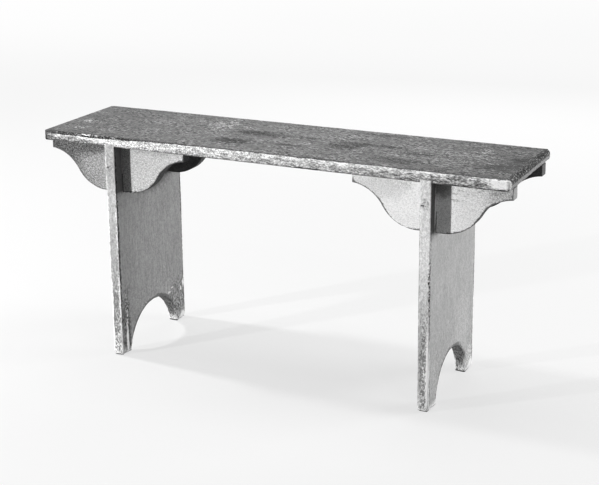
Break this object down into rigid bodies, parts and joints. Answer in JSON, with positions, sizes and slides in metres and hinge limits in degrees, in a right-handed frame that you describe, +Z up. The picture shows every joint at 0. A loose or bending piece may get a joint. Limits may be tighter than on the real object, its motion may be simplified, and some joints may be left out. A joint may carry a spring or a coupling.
{
  "type": "bench",
  "caption": "Low plank bench: one board seat on two arched board legs, with ogee brackets halved through the legs under the seat, in old worn paint.",
  "frame": {"origin": "on the floor under the middle of the seat: the bottom centre of the bench's box", "axes": "+X along the seat, towards the right end seen from the front; +Y from front to back; +Z up"},
  "size_m": [0.915, 0.235, 0.432],
  "materials": {
    "seat_paint": "old dark paint worn thin by use, with pale bare wood along the edges",
    "leg_paint": "old matt paint, scuffed, with bare wood at the feet and edges",
    "bracket_paint": "old matt paint, scuffed, with bare wood along the curved edges",
    "nail_iron": "old dark iron, dull"
  },
  "bodies": {
    "root": {"seat_board": "seat_paint", "left_leg": "leg_paint", "right_leg": "leg_paint", "front_left_bracket": "bracket_paint", "rear_left_bracket": "bracket_paint", "front_right_bracket": "bracket_paint", "rear_right_bracket": "bracket_paint", "left_leg_seat_nails": "nail_iron", "right_leg_seat_nails": "nail_iron", "front_left_bracket_seat_nails": "nail_iron", "rear_left_bracket_seat_nails": "nail_iron", "front_right_bracket_seat_nails": "nail_iron", "rear_right_bracket_seat_nails": "nail_iron", "front_left_edge_nail": "nail_iron", "rear_left_edge_nail": "nail_iron", "front_right_edge_nail": "nail_iron", "rear_right_edge_nail": "nail_iron"}
  },
  "joints": []
}
